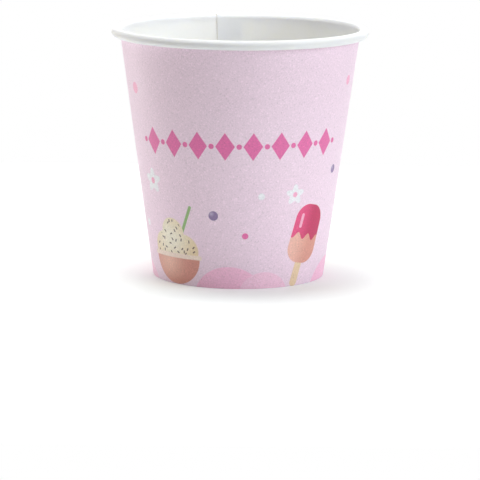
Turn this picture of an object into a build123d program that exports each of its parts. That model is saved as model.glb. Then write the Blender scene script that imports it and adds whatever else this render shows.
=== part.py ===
from build123d import *
from math import acos, asin, atan2, cos, degrees, sin, tan
import os

# A paper cup of two board blanks. The side wall is rolled into a cone and lapped at a side seam, its
# top edge is rolled outwards into the rim and its foot is folded up inside. The bottom is a disc drawn
# down into a skirt, which is sealed between the wall and the folded foot.
# The origin is at the centre of the standing edge, +Z is up and the front faces -Y.

# Driving dimensions, in millimetres and degrees
rim_diameter = 90.0  # over the rolled rim
foot_diameter = 60.2  # over the wall at the standing edge
cup_height = 87.6  # from the standing edge to the top of the rim
board = 0.35  # thickness of the side wall's board
floor_board = 0.30  # thickness of the bottom's board
rim_roll = 3.3  # diameter of the rolled rim's section
floor_recess = 7.0  # from the standing edge up to the underside of the bottom
floor_bend = 0.5  # inside radius of the bend from the bottom into its skirt
hem_clearance = 0.6  # from the top of the folded foot up to that bend
seam_lap = 9.0  # overlap of the blank's two ends, at the top
seam_bearing = 101.6  # from +X round to the edge of the blank's inner end, seen from above
seal_film = 0.03  # melted coating between two sealed faces
roll_clearance = 0.1  # between the seam's outer ply and the end of the rim's roll

# The wall in the XZ plane: its outside runs from the foot to a tangent of the inside of the rim's roll
rim_radius = rim_diameter / 2
foot_radius = foot_diameter / 2
roll_radius = rim_roll / 2
roll_bore = roll_radius - board
roll_centre = Vector(rim_radius - roll_radius, cup_height - roll_radius)
foot_to_roll = roll_centre - Vector(foot_radius, 0)
lean = atan2(foot_to_roll.X, foot_to_roll.Y) - asin(roll_bore / foot_to_roll.length)
out_of_wall = Vector(cos(lean), -sin(lean))


def wall_point(depth, level):
    """The point at this level on a line parallel to the wall's outside, that deep inside it."""
    return Vector(foot_radius + level * tan(lean) - depth / cos(lean), level)


def on_circle(radius, bearing):
    """The point at this bearing, in degrees, on a circle about the cup's axis."""
    return Vector(radius, 0).rotate(Axis.Z, bearing)


# The plain cone runs from the folded foot to the start of the rim's roll
roll_start = roll_centre - out_of_wall * roll_radius
cone_bottom = board
cone_top = (roll_start + out_of_wall * board).Y

# Side wall: cone with its lapped seam, rolled rim and folded foot
with BuildPart() as side_wall:
    # The outer ply climbs over the inner ply's edge, along a tangent of the cone at its top
    ply = board / cos(lean)
    top_radius = wall_point(board, cone_top).X
    landing = seam_bearing + degrees(acos(top_radius / (top_radius + ply)))
    climb = degrees(acos((top_radius + ply) / (top_radius + 2 * ply)))
    lap_end = seam_bearing - degrees(seam_lap / top_radius)
    for level in (cone_bottom, cone_top):
        inside = wall_point(board, level).X
        outside = inside + ply
        over = outside + ply
        with BuildSketch(Plane.XY.offset(level)):
            with BuildLine():
                Line(on_circle(outside, lap_end), on_circle(over, lap_end))
                CenterArc((0, 0), over, lap_end, landing - climb - lap_end)
                Line(on_circle(over, landing - climb), on_circle(outside, landing))
                CenterArc((0, 0), outside, landing, 360 + lap_end - landing)
            make_face()
            with BuildLine():
                Line(on_circle(inside, seam_bearing), on_circle(outside, seam_bearing))
                Line(on_circle(outside, seam_bearing), on_circle(inside, landing))
                CenterArc((0, 0), inside, landing, 360 + seam_bearing - landing)
            make_face(mode=Mode.SUBTRACT)
    loft(ruled=True)

    # The rim's roll goes outwards and down, and ends clear of the seam's outer ply
    roll_gap = board + roll_clearance
    roll_turn = 360 - degrees(acos((roll_bore - roll_gap) / roll_radius))
    roll_from = 180 - degrees(lean)
    with BuildSketch(Plane.XZ):
        with BuildLine():
            Line(wall_point(0, cone_top), wall_point(board, cone_top))
            Line(wall_point(board, cone_top), roll_start)
            roll_face = CenterArc(roll_centre, roll_radius, roll_from, -roll_turn)
            roll_back = CenterArc(roll_centre, roll_bore, roll_from, -roll_turn)
            Line(roll_face @ 1, roll_back @ 1)
        make_face()
    revolve(axis=Axis.Z)

    # The foot is folded round the end of the bottom's skirt and stands on the flat of the fold
    pocket = floor_board + 2 * seal_film
    hem_top = floor_recess - floor_bend - hem_clearance
    outer_corner = wall_point(board, cone_bottom)
    inner_corner = wall_point(board + pocket, cone_bottom)
    hem_end = wall_point(board + pocket, hem_top)
    wall_tilt = degrees(lean)
    with BuildSketch(Plane.XZ):
        with BuildLine():
            Line(wall_point(0, cone_bottom), outer_corner + out_of_wall * board)
            outer_fold = CenterArc(outer_corner, board, -wall_tilt, wall_tilt - 90)
            inner_fold = CenterArc(inner_corner, board, -90, -wall_tilt - 90)
            Line(outer_fold @ 1, inner_fold @ 0)
            Line(inner_fold @ 1, hem_end - out_of_wall * board)
            Line(hem_end - out_of_wall * board, hem_end)
            Line(hem_end, inner_corner)
            Line(inner_corner, wall_point(0, cone_bottom))
        make_face()
    revolve(axis=Axis.Z)

# Bottom: a flat disc with its skirt drawn down along the inside of the wall
with BuildPart() as bottom:
    floor_top = floor_recess + floor_board
    skirt_depth = board + seal_film
    with BuildSketch(Plane.XZ):
        with BuildLine() as top_face:
            Polyline(
                (0, floor_top),
                wall_point(skirt_depth, floor_top),
                wall_point(skirt_depth, cone_bottom + seal_film),
            )
            fillet(top_face.vertices().sort_by(Axis.X)[-1], radius=floor_bend + floor_board)
            offset(amount=floor_board, side=Side.RIGHT)
        make_face()
    revolve(axis=Axis.Z)

side_wall.part.label = "side_wall"
bottom.part.label = "bottom"
os.makedirs("parts", exist_ok=True)
export_step(side_wall.part, "parts/side_wall.step")
export_step(bottom.part, "parts/bottom.step")
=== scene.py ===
from math import asin, atan2, cos, hypot, pi, radians, sin, tan

import bmesh
import bpy
from mathutils import Matrix, Vector


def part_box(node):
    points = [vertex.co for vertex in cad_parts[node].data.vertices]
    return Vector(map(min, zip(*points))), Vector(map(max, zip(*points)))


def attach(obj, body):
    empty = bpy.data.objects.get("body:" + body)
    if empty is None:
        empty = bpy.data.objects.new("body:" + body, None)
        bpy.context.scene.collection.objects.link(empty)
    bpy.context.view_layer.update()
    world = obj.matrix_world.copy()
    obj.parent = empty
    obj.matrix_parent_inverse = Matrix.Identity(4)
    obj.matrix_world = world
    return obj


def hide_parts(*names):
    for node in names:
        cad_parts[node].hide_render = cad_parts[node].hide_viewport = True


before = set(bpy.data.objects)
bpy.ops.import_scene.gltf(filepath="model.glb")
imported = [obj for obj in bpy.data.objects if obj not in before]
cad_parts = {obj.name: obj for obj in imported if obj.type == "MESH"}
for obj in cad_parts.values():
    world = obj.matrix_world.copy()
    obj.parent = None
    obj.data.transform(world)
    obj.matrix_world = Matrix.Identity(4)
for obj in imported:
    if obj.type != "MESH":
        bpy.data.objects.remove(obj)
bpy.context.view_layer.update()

scene = bpy.context.scene
scene.view_settings.view_transform = "Standard"

# Side wall. One blank of cup board, printed outside and coated white inside, is rolled into a cone and
# its ends are lapped and heat-sealed at the back. The top edge is rolled outwards into the rim, and the
# foot is folded in and up round the skirt of the bottom.
mm = 0.001
rim_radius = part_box("side_wall")[1].x
cup_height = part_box("side_wall")[1].z
foot_radius = 30.1 * mm
board = 0.35 * mm
roll_radius = 1.65 * mm
roll_turn = radians(300)
roll_steps = 30
pocket = 0.36 * mm
hem_height = 5.9 * mm
hem_steps = 10
fold_steps = 5
wall_steps = 24
seam_bearing = radians(101.6)
seam_lap = radians(12.3)
seam_climb = radians(7.4)
seam_steps = 12
round_steps = 340
lap_fade = 2.5 * mm
knurl_depth = 0.06 * mm
knurl_count = 90
merge_distance = 0.001 * mm
crease_angle = radians(40)

roll_bore = roll_radius - board
roll_centre = Vector((rim_radius - roll_radius, 0, cup_height - roll_radius))
foot_to_roll = roll_centre - Vector((foot_radius, 0, 0))
lean = atan2(foot_to_roll.x, foot_to_roll.z) - asin(roll_bore / foot_to_roll.length)
out_of_wall = Vector((cos(lean), 0, -sin(lean)))


def wall_point(depth, level):
    """The point at this level on a line parallel to the wall's outside, that deep inside it."""
    return Vector((foot_radius + level * tan(lean) - depth / cos(lean), 0, level))


def draw_to(shape, tip, point, steps=1):
    """Draws a profile on from its last vertex to a point, and gives the new last vertex."""
    start = tip.co.copy()
    for step in range(steps):
        tip = bmesh.ops.extrude_vert_indiv(shape, verts=[tip])["verts"][0]
        tip.co = start.lerp(point, (step + 1) / steps)
    return tip


def bend(shape, tip, centre, turn, steps):
    """Draws a profile on round a centre, and gives the new last vertex."""
    made = bmesh.ops.spin(shape, geom=[tip], cent=centre, axis=(0, 1, 0), angle=turn, steps=steps)
    return next(part for part in made["geom_last"] if isinstance(part, bmesh.types.BMVert))


def turn_on(shape, section, turn, steps):
    """Turns a section on round the cup's axis, and gives its last copy and the new vertices."""
    before = set(shape.verts)
    made = bmesh.ops.spin(shape, geom=section, cent=(0, 0, 0), axis=(0, 0, 1), angle=turn, steps=steps)
    return made["geom_last"], [vert for vert in shape.verts if vert not in before]


def add_board(name, shape, thickness, materials):
    """Makes a piece of board: a sheet that gets its thickness behind the face it was drawn on."""
    mesh = bpy.data.meshes.new(name)
    shape.to_mesh(mesh)
    shape.free()
    for material in materials:
        mesh.materials.append(material)
    piece = bpy.data.objects.new(name, mesh)
    scene.collection.objects.link(piece)
    solid = piece.modifiers.new("board", "SOLIDIFY")
    solid.thickness = thickness
    solid.offset = -1
    solid.use_even_offset = True
    solid.use_quality_normals = True
    solid.material_offset = 1
    solid.material_offset_rim = 2
    thick = piece.evaluated_get(bpy.context.evaluated_depsgraph_get())
    piece.data = bpy.data.meshes.new_from_object(thick)
    piece.modifiers.clear()
    piece.data.shade_smooth()
    piece.data.set_sharp_from_angle(angle=crease_angle)
    return piece


# The blank's printed face in profile: from the top of the hem, down round the fold, up to the roll's end
shape = bmesh.new()
lap = shape.verts.layers.float.new("lap")
knurl = shape.verts.layers.float.new("knurl")
outer_corner = wall_point(board, board)
inner_corner = wall_point(board + pocket, board)
tip = shape.verts.new(wall_point(board + pocket, hem_height) - out_of_wall * board)
tip = draw_to(shape, tip, inner_corner - out_of_wall * board, hem_steps)
hem_verts = set(shape.verts)
tip = bend(shape, tip, inner_corner, -(pi / 2 + lean), fold_steps)
tip = draw_to(shape, tip, outer_corner - Vector((0, 0, board)))
tip = bend(shape, tip, outer_corner, -(pi / 2 - lean), fold_steps)
fold_verts = set(shape.verts)
fold_top = tip.co.z
tip = draw_to(shape, tip, roll_centre - out_of_wall * roll_bore, wall_steps)
bend(shape, tip, roll_centre, roll_turn, roll_steps)

# How far each point of the profile lifts where the blank laps itself, and how deep the hem is knurled
for vert in shape.verts:
    rise = 0 if vert in fold_verts else min((vert.co.z - fold_top) / lap_fade, 1)
    vert[lap] = rise * rise * (3 - 2 * rise)
    along = (vert.co.z - board) / (hem_height - board)
    vert[knurl] = sin(pi * along) if vert in hem_verts else 0

# The blank is turned from the outer end of the lap, down the climb and round to the inner end. The inner
# end's corner is trimmed off above the fold.
lap_end = seam_bearing - seam_lap
bmesh.ops.rotate(shape, verts=shape.verts[:], cent=(0, 0, 0), matrix=Matrix.Rotation(lap_end, 3, "Z"))
section = shape.verts[:] + shape.edges[:]
over = shape.verts[:]
section, added = turn_on(shape, section, seam_lap, seam_steps)
over += added
section, climbing = turn_on(shape, section, seam_climb, seam_steps)
section, _ = turn_on(shape, section, 2 * pi - seam_lap - seam_climb, round_steps)
inner_end = [part for part in section if isinstance(part, bmesh.types.BMVert) and part[lap] > 0]
edges = [part for part in section if isinstance(part, bmesh.types.BMEdge)]
inner_end += [edge for edge in edges if all(vert[lap] > 0 for vert in edge.verts)]
turn_on(shape, inner_end, seam_lap, seam_steps)

# The outer end is lifted by one board, and the climb leads back down to the single wall
lift = {vert: vert[lap] for vert in over}
for vert in climbing:
    left = seam_bearing + seam_climb - atan2(vert.co.y, vert.co.x)
    lift[vert] = vert[lap] * (1 / cos(left) - 1) / (1 / cos(seam_climb) - 1)
shape.normal_update()
wall_face = min(shape.faces, key=lambda face: abs(face.calc_center_median().z - cup_height / 2))
if wall_face.normal.dot(wall_face.calc_center_median()) < 0:
    bmesh.ops.reverse_faces(shape, faces=shape.faces[:])
    shape.normal_update()
for vert in shape.verts:
    ridge = vert[knurl] * (1 + cos(knurl_count * atan2(vert.co.y, vert.co.x))) / 2
    vert.co += vert.normal * (board * lift.get(vert, 0) - knurl_depth * ridge)
bmesh.ops.remove_doubles(shape, verts=shape.verts[:], dist=merge_distance)


class Shade:
    """A socket in a material's nodes. Arithmetic on it adds Math nodes."""

    def __init__(self, socket):
        self.socket = socket

    def node(self, kind, settings=None, inputs=None, output=0):
        """Adds a node: its type, its settings, then the values or links of its sockets."""
        tree = self.socket.id_data
        made = tree.nodes.new(kind)
        for name, value in (settings or {}).items():
            setattr(made, name, value)
        for name, value in (inputs or {}).items():
            if isinstance(value, Shade):
                tree.links.new(value.socket, made.inputs[name])
            else:
                made.inputs[name].default_value = value
        return Shade(made.outputs[output])

    def sibling(self, name):
        """Another output of the same node."""
        return Shade(self.socket.node.outputs[name])

    def split(self):
        """The three parts of a vector."""
        first = self.node("ShaderNodeSeparateXYZ", None, {"Vector": self})
        return first, first.sibling("Y"), first.sibling("Z")

    def math(self, operation, *others):
        return self.node("ShaderNodeMath", {"operation": operation}, dict(enumerate((self, *others))))

    def __add__(self, other):
        return self.math("ADD", other)

    def __sub__(self, other):
        return self.math("SUBTRACT", other)

    def __rsub__(self, other):
        return self.node("ShaderNodeMath", {"operation": "SUBTRACT"}, {0: other, 1: self})

    def __mul__(self, other):
        return self.math("MULTIPLY", other)

    def __truediv__(self, other):
        return self.math("DIVIDE", other)

    def __abs__(self):
        return self.math("ABSOLUTE")

    __radd__ = __add__
    __rmul__ = __mul__


def srgb(red, green, blue):
    """A colour as it is seen on a screen, from 0 to 255, in linear light."""
    shares = [value / 255 for value in (red, green, blue)]
    linear = [s / 12.92 if s <= 0.04045 else ((s + 0.055) / 1.055) ** 2.4 for s in shares]
    return (*linear, 1)


def new_finish(name, **constants):
    """Starts a material: gives it, its Principled shader and the place on the piece as a Shade."""
    material = bpy.data.materials.new(name)
    material.use_nodes = True
    shader = material.node_tree.nodes["Principled BSDF"]
    for socket, value in constants.items():
        shader.inputs[socket.replace("_", " ").title().replace("Ior", "IOR")].default_value = value
    place = Shade(material.node_tree.nodes.new("ShaderNodeTexCoord").outputs["Object"])
    return material, shader, place


def feed(shader, socket, shade):
    """Links a Shade into one of a shader's sockets."""
    shader.id_data.links.new(shade.socket, shader.inputs[socket])


def cover(distance, blur=0.12):
    """1 inside an outline and 0 outside it, from the distance to it in millimetres."""
    spread = {"Value": distance, "From Min": blur, "From Max": -blur}
    return distance.node("ShaderNodeMapRange", {"interpolation_type": "SMOOTHSTEP"}, spread)


def paint(mask, under, over):
    """Lays one colour over another where the mask is 1."""
    return mask.node("ShaderNodeMix", {"data_type": "RGBA"}, {0: mask, 6: under, 7: over}, 2)


def speckle(place, scale, detail=2):
    """Fine noise from 0 to 1; scale is in grains to the millimetre."""
    noise = {"Vector": place, "Scale": scale / mm, "Detail": detail}
    return place.node("ShaderNodeTexNoise", None, noise)


def disc(across, up, radius):
    """The distance to a round spot."""
    return (across * across + up * up).math("SQRT") - radius


def lozenge(across, up, half_width, half_height):
    """The distance to a lozenge that stands on its point."""
    slope = half_width * half_height / hypot(half_width, half_height)
    return (abs(across) / half_width + abs(up) / half_height - 1) * slope


def bar(across, up, half_width, half_height, corner):
    """The distance to an upright bar with round corners."""
    beside = (abs(across) - (half_width - corner)).math("MAXIMUM", 0)
    above = (abs(up) - (half_height - corner)).math("MAXIMUM", 0)
    return (beside * beside + above * above).math("SQRT") - corner


def joined(first, *others):
    """The distance to several shapes taken as one."""
    for other in others:
        first = first.math("MINIMUM", other)
    return first


def overlap(first, second):
    """The distance to the part that two shapes share."""
    return first.math("MAXIMUM", second)


def moved(across, up, right, rise):
    """The same place measured from a point to the right and higher up."""
    return across - right, up - rise


def turned(across, up, angle):
    """The same place measured from axes that are turned by an angle."""
    return across * cos(angle) + up * sin(angle), up * cos(angle) - across * sin(angle)


# The print repeats on the front and the back: bearings are in degrees from the middle of each, and its
# other measures are millimetres on the board
print_reach = 90
printed, print_shader, place = new_finish("printed_board")
to_right, to_back, height = place.split()
radius = (to_right * to_right + to_back * to_back).math("SQRT") / mm
level = height / mm
bearing = to_right.math("ARCTAN2", 0 - to_back) * (180 / pi)
bearing = bearing.math("WRAP", print_reach, -print_reach)


def round_wall(angle):
    """How far an angle in degrees reaches round the wall, in millimetres."""
    return angle * radius * (pi / 180)


def up_wall(rise):
    """How far up the wall a place is from a height, in millimetres."""
    return (level - rise) / cos(lean)


def at(middle, rise):
    """The place on the wall in millimetres across and up from a bearing and a height."""
    return round_wall(bearing - middle), up_wall(rise)


# The ground, in two close tones
ground_scale = 0.05
ground_pink = srgb(246, 221, 238)
ground_shade = srgb(241, 216, 234)
colour = paint(speckle(place, ground_scale), ground_pink, ground_shade)

# Pale hills along the foot: bearing, height and radius of each round, and its ink
hill_pink = srgb(251, 197, 225)
hill_pale = srgb(251, 208, 231)
for middle, rise, size, ink in (
    (-6, -5, 13, hill_pink),
    (17, -3, 9, hill_pale),
    (-84, -4, 10, hill_pale),
    (78, -4, 12, hill_pink),
):
    colour = paint(cover(disc(*at(middle, rise), size)), colour, ink)

# A band of lozenges with spots between them
band_level = 50.6
band_end = 61.9
lozenge_pitch = 15
lozenge_half_width = 3.4
lozenge_half_height = 4.9
band_spot_radius = 0.95
deep_pink = srgb(231, 114, 173)


def from_nearest(angle):
    """The angle from the nearest of the places that follow each other at the band's pitch."""
    return angle.math("WRAP", lozenge_pitch / 2, -lozenge_pitch / 2)


up = up_wall(band_level)
across = round_wall(from_nearest(bearing - lozenge_pitch / 2))
lozenges = lozenge(across, up, lozenge_half_width, lozenge_half_height)
band_spots = disc(round_wall(from_nearest(bearing)), up, band_spot_radius)
past_end = round_wall(abs(bearing) - band_end)
colour = paint(cover(overlap(joined(lozenges, band_spots), past_end)), colour, deep_pink)

# A straw that stands in the bowl, behind the scoops
bowl_bearing = -44
bowl_level = 10.5
straw_middle = (6.2, 13)
straw_tilt = radians(-24)
straw_half_width = 0.55
straw_half_length = 6
straw_corner = 0.5
straw_green = srgb(150, 184, 122)
across, up = at(bowl_bearing, bowl_level)
straw_place = turned(*moved(across, up, *straw_middle), straw_tilt)
straw = bar(*straw_place, straw_half_width, straw_half_length, straw_corner)
colour = paint(cover(straw), colour, straw_green)

# Cream scoops: the place of each round in the bowl and its radius
scoop_rounds = ((-4.6, 2.6, 5.6), (4.4, 2.2, 5.8), (-0.4, 8.2, 5.2))
cream_scale = 0.16
cream_glow_middle = (-1.5, 6)
cream_glow_radius = 7
cream_glow_blur = 6
cream_tone = srgb(246, 236, 214)
cream_light = srgb(251, 246, 233)
cream_shade = srgb(236, 212, 176)
scoops = joined(*(disc(*moved(across, up, right, rise), size) for right, rise, size in scoop_rounds))
cream = paint(speckle(place, cream_scale), cream_tone, cream_light)
glow = disc(*moved(across, up, *cream_glow_middle), cream_glow_radius)
cream = paint(cover(glow, cream_glow_blur), cream_shade, cream)
colour = paint(cover(scoops), colour, cream)

# Dark sprinkles on the cream, one in each cell of a scattered pattern and each turned its own way
sprinkle_scale = 0.42
sprinkle_scatter = 0.85
sprinkle_turn = 6.28
sprinkle_half_width = 0.22
sprinkle_half_length = 0.55
sprinkle_corner = 0.2
sprinkle_margin = 0.6
sprinkle_brown = srgb(96, 62, 66)
flat_place = across.node("ShaderNodeCombineXYZ", None, {"X": across, "Y": up})
cells = {"Vector": flat_place, "Scale": sprinkle_scale, "Randomness": sprinkle_scatter}
cell = across.node("ShaderNodeTexVoronoi", {"voronoi_dimensions": "2D"}, cells)
chance = cell.node("ShaderNodeSeparateColor", None, {"Color": cell.sibling("Color")})
ends = {0: flat_place, 1: cell.sibling("Position")}
offset = across.node("ShaderNodeVectorMath", {"operation": "SUBTRACT"}, ends)
spin = {"Vector": offset, "Angle": chance * sprinkle_turn}
offset = across.node("ShaderNodeVectorRotate", {"rotation_type": "Z_AXIS"}, spin)
beside, along, _ = offset.split()
sprinkles = bar(beside, along, sprinkle_half_width, sprinkle_half_length, sprinkle_corner)
colour = paint(cover(overlap(sprinkles, scoops + sprinkle_margin)), colour, sprinkle_brown)

# The bowl in front of the scoops, and its lip
bowl_radius = 10.4
bowl_glow_middle = (-3.5, -3)
bowl_glow_radius = 5
bowl_glow_blur = 5
bowl_shade = srgb(216, 150, 138)
bowl_light = srgb(238, 188, 172)
lip_middle = (0, -0.1)
lip_half_width = 11.2
lip_half_height = 0.8
lip_corner = 0.7
lip_cream = srgb(246, 226, 214)
glow = disc(*moved(across, up, *bowl_glow_middle), bowl_glow_radius)
glaze = paint(cover(glow, bowl_glow_blur), bowl_shade, bowl_light)
colour = paint(cover(overlap(disc(across, up, bowl_radius), up)), colour, glaze)
lip = bar(*moved(across, up, *lip_middle), lip_half_width, lip_half_height, lip_corner)
colour = paint(cover(lip), colour, lip_cream)

# An ice lolly on its stick, lit from the left
lolly_bearing = 45
lolly_level = 17
lolly_tilt = radians(-12)
lolly_middle = (0, 1.5)
lolly_half_width = 6.5
lolly_half_height = 10.5
lolly_corner = 5.4
stick_middle = (0, -12.5)
stick_half_width = 1.5
stick_half_height = 5
stick_corner = 1.4
stick_wood = srgb(236, 208, 176)
ice_edge = -1
ice_shade = srgb(222, 156, 142)
ice_light = srgb(240, 188, 174)
lit_blur = 4
across, up = turned(*at(lolly_bearing, lolly_level), lolly_tilt)
stick = bar(*moved(across, up, *stick_middle), stick_half_width, stick_half_height, stick_corner)
colour = paint(cover(stick), colour, stick_wood)
lolly = bar(*moved(across, up, *lolly_middle), lolly_half_width, lolly_half_height, lolly_corner)
ice = paint(cover(across - ice_edge, lit_blur), ice_shade, ice_light)
colour = paint(cover(lolly), colour, ice)

# Sauce over the lolly's top, with a wavy lower edge and a shine
sauce_level = 0.5
sauce_waves = 1.3
sauce_wave_height = 1.1
sauce_edge = -1.5
sauce_shade = srgb(196, 50, 98)
sauce_light = srgb(230, 86, 136)
shine_middle = (-3.6, 5.8)
shine_half_width = 0.6
shine_half_height = 2.6
shine_corner = 0.6
shine_pink = srgb(243, 178, 203)
above_sauce_edge = up - sauce_level - (across * sauce_waves).math("SINE") * sauce_wave_height
sauce = paint(cover(across - sauce_edge, lit_blur), sauce_shade, sauce_light)
colour = paint(cover(overlap(lolly, 0 - above_sauce_edge)), colour, sauce)
shine = bar(*moved(across, up, *shine_middle), shine_half_width, shine_half_height, shine_corner)
colour = paint(cover(shine), colour, shine_pink)

# Loose spots: bearing, height and radius of each, and its ink
rose = srgb(247, 178, 209)
cloud = srgb(243, 240, 247)
for middle, rise, size, ink in (
    (4, 19, 1.1, deep_pink),
    (-66, 68, 2.0, rose),
    (70, 71, 1.7, rose),
    (13, 33, 1.2, cloud),
    (-72, 20, 1.3, cloud),
):
    colour = paint(cover(disc(*at(middle, rise), size)), colour, ink)

# Lilac spots with a soft shine to the upper left of their middle
lilac_shade = srgb(146, 122, 166)
lilac_light = srgb(198, 182, 210)
lilac_shine_place_share = 0.4
lilac_shine_radius_share = 0.3
lilac_shine_blur = 0.8
for middle, rise, size in ((-15, 26, 1.7), (66, 40, 1.5)):
    across, up = at(middle, rise)
    aside = lilac_shine_place_share * size
    shine = disc(*moved(across, up, -aside, aside), lilac_shine_radius_share * size)
    lilac = paint(cover(shine, lilac_shine_blur), lilac_shade, lilac_light)
    colour = paint(cover(disc(across, up, size)), colour, lilac)

# Pale blossoms with a round heart
petal_count = 5
petal_share = 0.2
blossom_radius_share = 0.78
heart_radius_share = 0.24
for middle, rise, size in ((-58, 36, 4.6), (34, 33, 3.8)):
    across, up = at(middle, rise)
    petals = (across.math("ARCTAN2", up) * petal_count).math("COSINE") * (petal_share * size)
    colour = paint(cover(disc(across, up, blossom_radius_share * size) - petals), colour, cloud)
    colour = paint(cover(disc(across, up, heart_radius_share * size)), colour, rose)

# The print ends at the fold of the foot: the hem inside it is bare
print_end_depth = 2 * board / mm
print_end_blur = 0.05
bare_white = srgb(250, 248, 244)
wall_radius = foot_radius / mm + level * tan(lean)
colour = paint(cover(radius + print_end_depth - wall_radius, print_end_blur), colour, bare_white)

# Fine pale and dark flecks all over, as on matt coated board. Each kind starts at one value of the
# grain, is full at another, and there changes the colour by a share.
fleck_scale = 1.9
pale_flecks = (0.56, 0.74, 0.19)
dark_flecks = (0.44, 0.26, -0.17)
print_roughness = 0.35
print_relief = 0.04 * mm
roughness_spread = 0.3
relief_strength = 0.3


def roughen(shader, grain, roughness, relief):
    """Gives a finish its uneven roughness and a faint relief, both from one fine grain."""
    feed(shader, "Roughness", grain * roughness_spread + roughness)
    bump = {"Height": grain, "Strength": relief_strength, "Distance": relief}
    feed(shader, "Normal", grain.node("ShaderNodeBump", None, bump))


grain = speckle(place, fleck_scale)
flecks = 1
for start, full, change in (pale_flecks, dark_flecks):
    ramp = {"Value": grain, "From Min": start, "From Max": full, "To Max": change}
    flecks = flecks + grain.node("ShaderNodeMapRange", None, ramp)
flecked = colour.node("ShaderNodeVectorMath", {"operation": "SCALE"}, {0: colour, "Scale": flecks})
feed(print_shader, "Base Color", flecked)
roughen(print_shader, grain, print_roughness, print_relief)

# The coated inside and the cut edges
tone_scale = 0.12
fibre_scale = 1.1
fibre_detail = 4
fibre_share = 0.4
board_specular = 0.3


def plain_board(name, light, dark, roughness, relief, **constants):
    """A material of board without print: cloudy tones, fine fibres and a faint relief."""
    material, shader, place = new_finish(name, specular_ior_level=board_specular, **constants)
    fibres = speckle(place, fibre_scale, fibre_detail)
    tone = speckle(place, tone_scale) * (1 - fibre_share) + fibres * fibre_share
    feed(shader, "Base Color", paint(tone, dark, light))
    roughen(shader, fibres, roughness, relief)
    return material


coated = plain_board(
    "coated_board",
    light=srgb(254, 254, 254),
    dark=srgb(249, 249, 249),
    roughness=0.35,
    relief=0.03 * mm,
    subsurface_weight=0.2,
    subsurface_radius=(2.2, 1.9, 1.0),
    subsurface_scale=mm,
)
cut = plain_board(
    "cut_board",
    light=srgb(243, 238, 228),
    dark=srgb(224, 216, 201),
    roughness=0.65,
    relief=0.08 * mm,
)

side_wall = add_board("side_wall_sheet", shape, board, [printed, coated, cut])
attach(side_wall, "root")
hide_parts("side_wall")

# Bottom. A disc of lighter cup board, lined on top, with its edge drawn down into a skirt. The skirt is
# heat-sealed between the wall and the folded foot, so the disc sits above the standing edge.
disc_board = 0.30 * mm
disc_top = 7.3 * mm
skirt_bend = 0.8 * mm
seal_film = 0.03 * mm
disc_rings = 14
disc_sides = 180
skirt_steps = 6
shape = bmesh.new()
bend_centre = wall_point(board + seal_film + skirt_bend, disc_top - skirt_bend)
tip = shape.verts.new((0, 0, disc_top))
tip = draw_to(shape, tip, bend_centre + Vector((0, 0, skirt_bend)), disc_rings)
tip = bend(shape, tip, bend_centre, pi / 2 + lean, fold_steps)
draw_to(shape, tip, wall_point(board + seal_film, board + seal_film), skirt_steps)
section = shape.verts[:] + shape.edges[:]
bmesh.ops.spin(
    shape, geom=section, cent=(0, 0, 0), axis=(0, 0, 1), angle=2 * pi, steps=disc_sides, use_merge=True
)
bmesh.ops.remove_doubles(shape, verts=shape.verts[:], dist=merge_distance)
bmesh.ops.recalc_face_normals(shape, faces=shape.faces[:])
if min(shape.faces, key=lambda face: face.calc_center_median().length).normal.z < 0:
    bmesh.ops.reverse_faces(shape, faces=shape.faces[:])

# The lining is painted greyer than the wall's white coating: painted shade, so that the floor of the cup
# does not render pure white
lined = plain_board(
    "lined_board",
    light=srgb(237, 236, 234),
    dark=srgb(228, 227, 225),
    roughness=0.35,
    relief=0.03 * mm,
)
raw = plain_board(
    "raw_board",
    light=srgb(248, 245, 238),
    dark=srgb(236, 231, 220),
    roughness=0.6,
    relief=0.06 * mm,
)
bottom = add_board("bottom_disc", shape, disc_board, [lined, raw, cut])
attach(bottom, "root")
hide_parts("bottom")

# Floor and light. A small white table under soft studio light: a broad cool lamp on the right, a softbox
# overhead, a lamp behind that shines through the board, a low card on the left and a dim warm dome.
floor_size = 0.5
table_white = (0.865, 0.9, 0.9, 1)
table_glow = 0.2
dome_level = 0.24
dome_warm = (1, 0.95, 0.85, 1)
dome_white = (1, 1, 1, 1)


def seen_directly(tree):
    """1 for the camera's rays and for mirrored or passed-on ones, 0 for those of soft light."""
    seen = Shade(tree.nodes.new("ShaderNodeLightPath").outputs["Is Camera Ray"])
    mirrored = seen.sibling("Is Glossy Ray")
    passed_on = seen.sibling("Is Transmission Ray")
    return seen.math("MAXIMUM", mirrored).math("MAXIMUM", passed_on)


floor_finish = bpy.data.materials.new("white_table")
floor_finish.use_nodes = True
tree = floor_finish.node_tree
floor_shader = tree.nodes["Principled BSDF"]
floor_shader.inputs["Base Color"].default_value = table_white
floor_shader.inputs["Roughness"].default_value = 1
floor_shader.inputs["Specular IOR Level"].default_value = 0
glow = tree.nodes.new("ShaderNodeEmission")
feed(glow, "Strength", seen_directly(tree) * table_glow)
both = tree.nodes.new("ShaderNodeAddShader")
tree.links.new(floor_shader.outputs[0], both.inputs[0])
tree.links.new(glow.outputs[0], both.inputs[1])
tree.links.new(both.outputs[0], tree.nodes["Material Output"].inputs["Surface"])
shape = bmesh.new()
bmesh.ops.create_grid(shape, x_segments=1, y_segments=1, size=floor_size / 2)
mesh = bpy.data.meshes.new("floor")
shape.to_mesh(mesh)
shape.free()
mesh.materials.append(floor_finish)
floor = bpy.data.objects.new("floor", mesh)
scene.collection.objects.link(floor)

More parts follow.
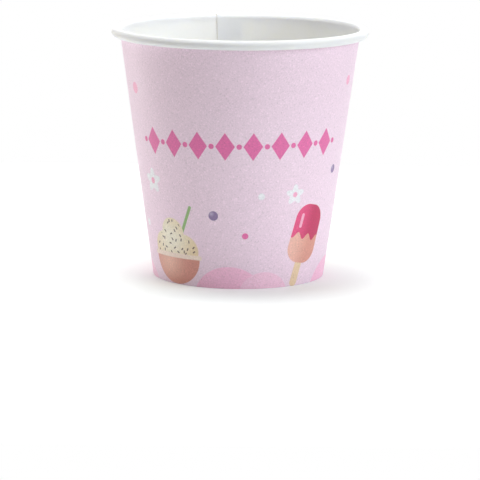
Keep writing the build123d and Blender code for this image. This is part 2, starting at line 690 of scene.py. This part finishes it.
world = bpy.data.worlds.new("dome")
world.use_nodes = True
scene.world = world
sky = world.node_tree.nodes["Background"]
seen = seen_directly(world.node_tree)
feed(sky, "Color", paint(seen, dome_warm, dome_white))
feed(sky, "Strength", seen * (1 - dome_level) + dome_level)

# Each lamp faces the cup: its bearing to the right of the front and its elevation in degrees, its
# distance, width and height in metres, what it adds to a white face turned to it, and its colour
for name, turn, rise, distance, width, height, added_light, tint in (
    ("key", 61, 20, 3.5, 2.6, 2.0, 0.55, (0.92, 0.98, 1.0)),
    ("overhead", -144, 83.5, 2.5, 1.1, 1.1, 0.74, (0.98, 1.0, 1.0)),
    ("back", 172, 12, 3.0, 2.4, 1.6, 0.4, (1.0, 0.98, 0.93)),
    ("card", -105, -3, 0.3, 0.3, 0.05, 0.25, (1.0, 0.94, 0.89)),
):
    lamp = bpy.data.lights.new(name, "AREA")
    lamp.shape = "RECTANGLE"
    lamp.size = width
    lamp.size_y = height
    lamp.energy = added_light * pi**2 * distance**2
    lamp.color = tint
    ahead = cos(radians(rise))
    back = Vector((sin(radians(turn)) * ahead, -cos(radians(turn)) * ahead, sin(radians(rise))))
    holder = bpy.data.objects.new(name, lamp)
    holder.location = Vector((0, 0, cup_height / 2)) + back * distance
    holder.rotation_euler = (-back).to_track_quat("-Z", "Y").to_euler()
    scene.collection.objects.link(holder)

# Camera. It stands in front of the cup, higher than the rim, and looks down towards the foot. The swing
# and the roll are small turns that fit its picture to the photograph.
camera_distance = 1.0638
camera_rise = radians(8.535)
camera_dip = radians(1.695)
camera_swing = radians(-0.0297)
camera_roll = radians(0.465)
camera_data = bpy.data.cameras.new("camera")
camera_data.lens = 226.26
camera_data.sensor_width = 36
camera = bpy.data.objects.new("camera", camera_data)
scene.collection.objects.link(camera)
eye_level = cup_height / 2 + camera_distance * sin(camera_rise)
eye = Vector((0, -camera_distance * cos(camera_rise), eye_level))
camera.matrix_world = (
    Matrix.Translation(eye)
    @ Matrix.Rotation(camera_swing, 4, "Z")
    @ Matrix.Rotation(pi / 2 - camera_rise - camera_dip, 4, "X")
    @ Matrix.Rotation(camera_roll, 4, "Z")
)
scene.camera = camera
